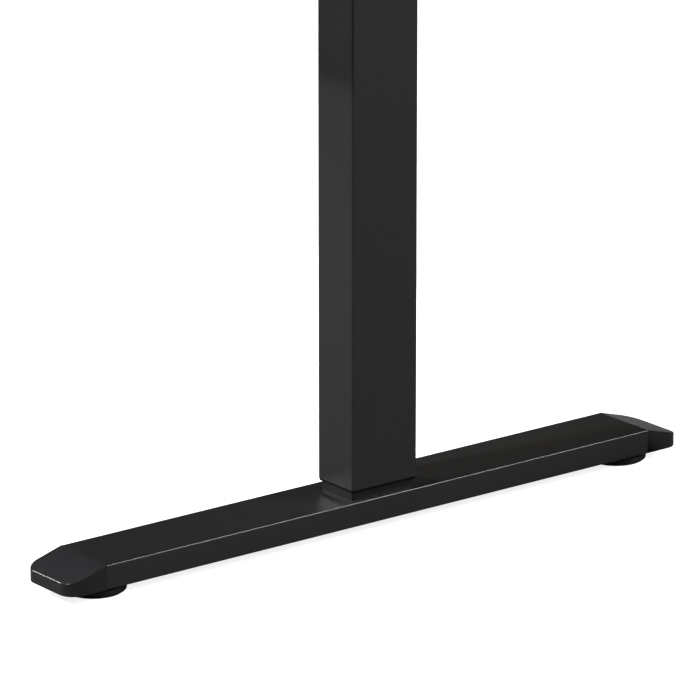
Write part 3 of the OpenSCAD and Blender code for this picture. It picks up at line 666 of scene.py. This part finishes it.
    # Worm wheel with its teeth, and the worm
    node = f"{leg}_worm_wheel"
    (c, s), (lo, hi) = middle(node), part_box(node)
    r, teeth, sides = s.x / 2, 30, 240
    wheel = Solid(at((c.x, c.y, 0)))
    rows = []
    for i in range(9):
        t = i / 8
        z = lo.z + s.z * t
        waist = 0.9 * MM * (1 - (2 * t - 1) ** 2)
        row = []
        for k in range(sides):
            theta = TAU * k / sides
            wave = math.cos(teeth * (theta + 0.06 * (t - 0.5)))
            tooth = min(max(0.5 + 0.9 * wave, 0), 1)
            rad = r - waist - 2.2 * MM * (1 - tooth)
            row.append((rad * math.cos(theta), rad * math.sin(theta), z))
        rows.append(row)

    def hoop(rad, z):
        angles = [TAU * k / sides for k in range(sides)]
        return [(rad * math.cos(a), rad * math.sin(a), z) for a in angles]
    rows += [hoop(r - 4 * MM, hi.z), hoop(r - 5 * MM, hi.z - 1.5 * MM), hoop(10.5 * MM, hi.z - 1.5 * MM),
             hoop(10 * MM, hi.z), hoop(7.2 * MM, hi.z), hoop(7.2 * MM, lo.z), hoop(10 * MM, lo.z),
             hoop(10.5 * MM, lo.z + 1.5 * MM), hoop(r - 5 * MM, lo.z + 1.5 * MM), hoop(r - 4 * MM, lo.z)]
    wheel.loft(rows, closed=True)
    placed(wheel.build(f"{leg}_wheel_teeth", ["wheel_brass"]), f"{leg}_screw", "wheel_brass", node)

    node = f"{leg}_worm"
    (c, s), (lo, hi) = middle(node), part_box(node)
    outer = lo.x if leg == "left" else hi.x
    worm = Solid(at((outer, c.y, c.z), "X", leg == "right"))
    thread(worm, 6.7 * MM, 2 * MM, 4.6 * MM, 0.0, 58 * MM, 28, 10)
    worm.lathe([(3.2 * MM, 50 * MM), (4 * MM, 51 * MM), (4 * MM, s.x - 0.6 * MM), (3.4 * MM, s.x)], 32)
    placed(worm.build(f"{leg}_worm_thread", ["ground_steel"], 40), "upper_frame", "ground_steel", node)

    # Thrust bearing: two washers with a caged row between them
    node = f"{leg}_thrust_bearing"
    (c, s), (lo, hi) = middle(node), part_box(node)
    r = s.x / 2
    race = Solid(at((c.x, c.y, 0)))
    race.lathe([(7.2 * MM, lo.z + 0.4 * MM), (7.6 * MM, lo.z), (r - 0.5 * MM, lo.z), (r, lo.z + 0.5 * MM),
                (r, lo.z + 3 * MM), (r - 0.4 * MM, lo.z + 3.3 * MM), (r - 2.4 * MM, lo.z + 3.4 * MM),
                (r - 2.4 * MM, hi.z - 3.4 * MM), (r - 0.4 * MM, hi.z - 3.3 * MM), (r, hi.z - 3 * MM),
                (r, hi.z - 0.5 * MM), (r - 0.5 * MM, hi.z), (7.6 * MM, hi.z),
                (7.2 * MM, hi.z - 0.4 * MM)], 72,
               closed=True)
    placed(race.build(f"{leg}_bearing_races", ["zinc_steel"]), "upper_frame", "zinc_steel", node)

    # Gearbox casting with a raised parting line and flange screws; motor with end bells
    node = f"{leg}_gearbox"
    (c, s), (lo, hi) = middle(node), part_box(node)
    case = softened(node, f"{leg}_gear_case", "cast_alloy", 1.2 * MM, 3)
    placed(case, "upper_frame", "cast_alloy", node)
    seam = Solid(Matrix.Translation((c.x, c.y, 0)))
    seam.loft([[(x, y, z) for x, y in rounded(s.x + w, s.y + w, 5 * MM)] for w, z in (
        (-0.4 * MM, lo.z + 20 * MM), (0.9 * MM, lo.z + 20.4 * MM), (0.9 * MM, lo.z + 21.2 * MM),
        (-0.4 * MM, lo.z + 21.6 * MM))], closed=False, caps=False)
    placed(seam.build(f"{leg}_gear_case_seam", ["cast_alloy"]), "upper_frame", "cast_alloy")
    lid = Solid()
    for y in (-22 * MM, -6 * MM):
        for x in (-24 * MM, 24 * MM):
            lid_at = at((c.x + x, c.y + y + 2 * MM, hi.z + 0.2 * MM), "Z", True)
            bolt(lid, lid_at, 1.6 * MM, 6 * MM, 3.2 * MM, 2.2 * MM, "cross", 0.7 * MM)
    placed(lid.build(f"{leg}_gear_case_screws", ["zinc_steel"]), "upper_frame", "zinc_steel")

    node = f"{leg}_motor"
    (c, s), (lo, hi) = middle(node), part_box(node)
    near = lo.x if leg == "left" else hi.x
    can = Solid(at((near, c.y, c.z), "X", leg == "right"))
    r = s.z / 2
    long_can, whole = 110 * MM, s.x

    def notches(theta, i):
        return 1 - 0.03 * (math.cos(4 * theta) > 0.93) if i in (9, 10) else 1
    can.lathe([(4.1 * MM, 6 * MM), (4.1 * MM, 0.0), (r - 3 * MM, 0.0), (r, 0.8 * MM), (r, 9 * MM),
               (r - 0.7 * MM, 9.6 * MM), (r - 0.7 * MM, 11 * MM), (r, 11.6 * MM),
               (r, long_can - 14 * MM), (r, long_can - 13.4 * MM),
               (r, long_can - 9 * MM), (r, long_can - 8.4 * MM), (r - 0.6 * MM, long_can - 8 * MM),
               (r - 0.6 * MM, long_can - 7 * MM), (r, long_can - 6.4 * MM), (r, long_can - 1.2 * MM),
               (r - 1.2 * MM, long_can)], 96, reach=notches)
    can.mark = 1
    can.lathe([(19.8 * MM, long_can - 0.5 * MM), (20 * MM, whole - 2.2 * MM), (19.2 * MM, whole - 1 * MM),
               (17 * MM, whole), (9 * MM, whole), (8.4 * MM, whole - 1 * MM), (5 * MM, whole - 1 * MM),
               (4.4 * MM, whole)], 96,
              reach=lambda theta, i: 1 - (0.03 * (math.cos(12 * theta) > 0.55) if 1 <= i <= 2 else 0))
    placed(can.build(f"{leg}_motor_can", ["powder_coat", "box_plastic"]), "upper_frame", "powder_coat",
           node)

# ---------- frame ----------

for node in ("front_rail", "back_rail", "left_arm", "right_arm"):
    carried(node, "powder_coat", 0.0006)
carried("desktop", "laminate", 0.0001, 1)
carried("edge_band", "edge_plastic", 0.0004, 3)

lo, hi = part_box("frame_bolts")
rails = Solid()
head_z = lo.z
for leg in LEGS:
    out = -1 if leg == "left" else 1
    centre_x = middle(f"{leg}_gearbox")[0].x
    for y in (-70 * MM, 70 * MM):
        for x in (-30 * MM, 30 * MM):
            bolt(rails, at((centre_x + x, y, head_z + 6 * MM)), 2.95 * MM, 16 * MM, 5 * MM, 6 * MM)
    for x in (-32 * MM, 32 * MM):
        bolt(rails, at((centre_x + x, 0, head_z + 6 * MM)), 2.45 * MM, 16 * MM, 4 * MM, 5 * MM,
             pitch=0.8 * MM)
    for y in (-70 * MM, 70 * MM):
        z = middle("front_rail")[0].z
        bolt(rails, at((out * (hi.x - 6 * MM), y, z), "X", out > 0), 2.95 * MM, 13 * MM, 5 * MM, 6 * MM)
placed(rails.build("frame_socket_bolts", ["black_steel"]), "upper_frame", "black_steel", "frame_bolts")

lo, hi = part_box("arm_pads")
pads = Solid()
board_screws = Solid()
for side in (-1, 1):
    for y in (-290 * MM, -140 * MM, 140 * MM, 290 * MM):
        x = side * (hi.x - 9 * MM)
        pads.place = at((x, y, lo.z))
        pads.lathe([(2.7 * MM, 0.0), (8.6 * MM, 0.0), (9 * MM, 0.4 * MM), (9 * MM, 1.6 * MM),
                    (8.6 * MM, 2 * MM),
                    (2.7 * MM, 2 * MM)], 48, closed=True)
        bolt(board_screws, at((x, y, lo.z - 3 * MM)), 2 * MM, 17 * MM, 4.2 * MM, 2.5 * MM,
             "cross", 1.4 * MM)
placed(pads.build("arm_washers", ["rubber"]), "upper_frame", "rubber", "arm_pads")

plate_lo, plate_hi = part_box("control_plate")
for x in (-1, 1):
    for y in (-30 * MM, 30 * MM):
        bolt(board_screws, at((x * (plate_hi.x - 9 * MM), y, plate_lo.z)), 2 * MM, 14 * MM,
             4.2 * MM, 2.5 * MM, "cross", 1.4 * MM)
shell_lo, shell_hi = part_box("handset")
for x in (shell_lo.x + 9 * MM, shell_hi.x - 9 * MM):
    bolt(board_screws, at((x, shell_hi.y - 12 * MM, shell_hi.z - 2 * MM)), 2 * MM, 14 * MM, 4.2 * MM,
         2.5 * MM,
         "cross", 1.4 * MM)
placed(board_screws.build("wood_screws", ["black_steel"]), "upper_frame", "black_steel", "desktop_screws")

# ---------- control box ----------

tray = softened("control_box", "control_tray", "box_plastic", 0.9 * MM, 3)
placed(tray, "upper_frame", "box_plastic", "control_box")
box_lo, box_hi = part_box("control_box")
ribs = Solid()
for k in range(13):
    x = (k - 6) * 9 * MM
    ribs.box((x - 1.6 * MM, -30 * MM, box_lo.z - 0.8 * MM),
             (x + 1.6 * MM, 26 * MM, box_lo.z + 0.4 * MM), 0.4 * MM)
placed(ribs.build("control_tray_ribs", ["box_plastic"]), "upper_frame", "box_plastic")
ports = Solid()
for k, x in enumerate((-80 * MM, -56 * MM, -32 * MM)):
    z = (box_lo.z + box_hi.z) / 2
    ports.loft([[(x + px, box_hi.y + y, z + pz) for px, pz in rounded(w, h, 0.8 * MM, 3)] for w, h, y in (
        (18 * MM, 15 * MM, -0.4 * MM), (18 * MM, 15 * MM, 0.7 * MM), (17 * MM, 14 * MM, 1.2 * MM),
        (13.4 * MM, 10.4 * MM, 1.2 * MM), (12.6 * MM, 9.6 * MM, 0.8 * MM), (12 * MM, 9 * MM, -0.3 * MM))])
placed(ports.build("control_tray_ports", ["guide_plastic"]), "upper_frame", "guide_plastic")
carried("control_plate", "black_steel", 0.0004)
carried("control_board", "circuit_board", 0.0002, 1)
carried("mains_inlet", "guide_plastic", 0.0004)

# ---------- handset ----------

shell = softened("handset", "handset_shell", "box_plastic", 0.8 * MM, 3)
placed(shell, "upper_frame", "box_plastic", "handset")
carried("handset_panel", "gloss_panel", 0.0005, 3)
carried("handset_window", "window_plastic", 0.0002)
carried("handset_board", "circuit_board", 0.0002, 1)

MARKS = {"button_up": ("up", "up_key"), "button_down": ("down", "down_key"),
         "button_one": ("one", "one_key"), "button_two": ("two", "two_key")}
for node, (mark, body) in MARKS.items():
    (c, s), (lo, _) = middle(node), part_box(node)
    key = Solid(at((c.x, lo.y, c.z), "Y"))
    r = 4.8 * MM  # the round top; the flange behind it is wider
    key.lathe([(0.4 * MM, 0.55 * MM), (2.6 * MM, 0.45 * MM), (3.9 * MM, 0.12 * MM), (4.25 * MM, 0.0),
               (4.6 * MM, 0.12 * MM), (r, 0.45 * MM), (r, 4.3 * MM), (s.x / 2 - 0.2 * MM, 4.3 * MM),
               (s.x / 2, 4.5 * MM), (s.x / 2, s.y - 0.2 * MM), (s.x / 2 - 0.2 * MM, s.y)], 64)
    key.mark = 1
    if mark in ("up", "down"):
        tip = 1 if mark == "up" else -1
        # The button's own frame has its Y pointing down
        outline = [(-1.9, 0.9), (0, -1.3), (1.9, 0.9), (1.2, 1.3), (0, -0.1), (-1.2, 1.3)]
        key.loft([[(x * MM, tip * y * MM, z * MM) for x, y in outline] for z in (0.6, 0.22)])
    else:
        for x in ((0,) if mark == "one" else (-1.1, 1.1)):
            key.place = at((c.x, lo.y, c.z), "Y") @ Matrix.Translation((x * MM, 0, 0))
            key.lathe([(0.62 * MM, 0.6 * MM), (0.62 * MM, 0.3 * MM), (0.4 * MM, 0.2 * MM)], 20)
    placed(key.build(f"{mark}_key_top", ["button_plastic", "white_mark"]), body, "button_plastic", node)

# ---------- leads ----------

motor_c = middle("left_motor")[0]
box_top = box_lo.z + 20 * MM
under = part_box("desktop")[0].z - 5 * MM
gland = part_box("motor_leads")[1].x
route = [(gland, 29 * MM, motor_c.z), (gland - 18 * MM, 29 * MM, motor_c.z),
         (gland - 45 * MM, 32 * MM, motor_c.z + 12 * MM), (gland - 75 * MM, 33 * MM, under),
         (270 * MM, 33 * MM, under), (200 * MM, 32 * MM, under), (165 * MM, 29 * MM, under - 6 * MM),
         (140 * MM, 29 * MM, box_top), (box_hi.x, 29 * MM, box_top)]
cable = Solid()
for side in (1, -1):
    path = smooth_route([(side * x, y, z) for x, y, z in route], 10)
    cable.mark = 0
    sweep(cable, path, 2.4 * MM)
    cable.mark = 1
    for span in (path[:9], path[-9:][::-1]):
        sweep(cable, span, lambda t: (4.6 - 1.8 * t + 0.35 * math.cos(t * TAU * 4)) * MM, 24)
placed(cable.build("motor_cables", ["lead_sheath", "rubber"], 50), "upper_frame", "lead_sheath",
       "motor_leads")

back = shell_hi.y
exit_x, exit_z = middle("handset")[0].x, middle("handset")[0].z
route = [(exit_x, back, exit_z), (exit_x, back + 12 * MM, exit_z), (exit_x - 6 * MM, back + 40 * MM, under),
         (exit_x - 40 * MM, back + 75 * MM, under), (exit_x - 120 * MM, back + 100 * MM, under),
         (exit_x - 220 * MM, back + 110 * MM, under), (exit_x - 300 * MM, back + 130 * MM, under),
         (82 * MM, -120 * MM, under), (70 * MM, -92 * MM, under), (70 * MM, -66 * MM, under),
         (70 * MM, -56 * MM, box_lo.z + 24 * MM), (70 * MM, box_lo.y, box_lo.z + 22 * MM)]
path = smooth_route(route, 8)
cable = Solid()
sweep(cable, path, 1.95 * MM)
cable.mark = 1
for span in (path[:7], path[-8:][::-1]):
    sweep(cable, span, lambda t: (3.6 - 1.3 * t + 0.3 * math.cos(t * TAU * 3)) * MM, 24)
placed(cable.build("handset_cable", ["lead_sheath", "rubber"], 50), "upper_frame", "lead_sheath",
       "handset_lead")

clips = softened("lead_clips", "cable_clips", "guide_plastic", 1.2 * MM)
placed(clips, "upper_frame", "guide_plastic", "lead_clips")

# ---------- floor, lights, camera ----------


def plain(name, colour, glow):
    mat = bpy.data.materials.new(name)
    mat.use_nodes = True
    shader = mat.node_tree.nodes["Principled BSDF"]
    shader.inputs["Base Color"].default_value = (*colour, 1)
    shader.inputs["Roughness"].default_value = 0.9
    shader.inputs["Specular IOR Level"].default_value = 0.0
    shader.inputs["Emission Color"].default_value = (1, 1, 1, 1)
    shader.inputs["Emission Strength"].default_value = glow
    return mat


def ground(name, height, mat):
    reach = 30
    mesh = bpy.data.meshes.new(name)
    mesh.from_pydata([(-reach, -reach, height), (reach, -reach, height), (reach, reach, height),
                      (-reach, reach, height)], [], [(0, 1, 2, 3)])
    mesh.materials.append(mat)
    made = bpy.data.objects.new(name, mesh)
    bpy.context.scene.collection.objects.link(made)
    return made


# The floor that shows is nearly white; the one that lights the desk from below is a softer grey
floor = ground("floor", 0, plain("pale_floor", (0.5, 0.5, 0.5), 0.86))
floor.visible_diffuse = floor.visible_glossy = floor.visible_shadow = False
bounce = ground("bounce_floor", -0.0005, plain("grey_floor", (0.19, 0.19, 0.19), 0.0))
bounce.visible_camera = False

world = bpy.data.worlds.new("studio")
bpy.context.scene.world = world
world.use_nodes = True
world.node_tree.nodes["Background"].inputs["Color"].default_value = (1, 1, 1, 1)
world.node_tree.nodes["Background"].inputs["Strength"].default_value = 0.003


def softbox(name, where, target, wide, tall, power, tint=(1, 1, 1)):
    lamp = bpy.data.lights.new(name, "AREA")
    lamp.color = tint
    lamp.shape = "RECTANGLE"
    lamp.size, lamp.size_y = wide, tall
    lamp.energy = power
    made = bpy.data.objects.new(name, lamp)
    made.location = where
    made.rotation_mode = "QUATERNION"
    made.rotation_quaternion = (Vector(target) - Vector(where)).to_track_quat("-Z", "Y")
    bpy.context.scene.collection.objects.link(made)
    return made


softbox("key", (0.1, -4.5, 3.83), (0.63, 0, 0.4), 0.35, 0.12, 500)
softbox("over_front", (1.2, -1.9, 4.1), (0.63, -0.3, 0.05), 1.4, 1.2, 17.3)
rim = softbox("back_right", (3.9, 3.1, 2.7), (0.63, 0, 0.05), 0.3, 1.6, 250)
softbox("floor_wash", (2.7, 1.5, 2.2), (2.3, 1.3, 0), 1.2, 1.2, 55)
softbox("left_side", (-2.8, -2.0, 2.4), (0.63, -0.3, 0.05), 0.5, 0.55, 245, (1.0, 0.95, 0.93))
softbox("over_left", (-1.2, -2.5, 3.9), (0.63, -0.3, 0.05), 1.4, 1.2, 21.9, (1.0, 0.95, 0.93))
softbox("low_back", (-3.9, 4.3, 0.45), (0.63, 0.3, 0.03), 1.6, 0.5, 3, (1.0, 0.93, 0.82))

# The narrow light behind the right foot would wash out the shiny board, so it passes the board by
unlit = bpy.data.collections.new("not_lit_by_rim")
for node in ("desktop", "edge_band"):
    unlit.objects.link(nodes[node])
for entry in unlit.collection_objects:
    entry.light_linking.link_state = "EXCLUDE"
rim.light_linking.receiver_collection = unlit

lens = bpy.data.cameras.new("camera")
camera = bpy.data.objects.new("camera", lens)
bpy.context.scene.collection.objects.link(camera)
turn, down = math.radians(51.878), math.radians(16.992)
camera.location = (4.7429, -3.2445, 1.7768)
camera.rotation_mode = "QUATERNION"
camera.rotation_quaternion = Vector((-math.sin(turn) * math.cos(down), math.cos(turn) * math.cos(down),
                                     -math.sin(down))).to_track_quat("-Z", "Y")
lens.sensor_width = 36
lens.lens = 288.56
lens.clip_start, lens.clip_end = 0.1, 100
bpy.context.scene.camera = camera
bpy.context.scene.view_settings.view_transform = "Standard"
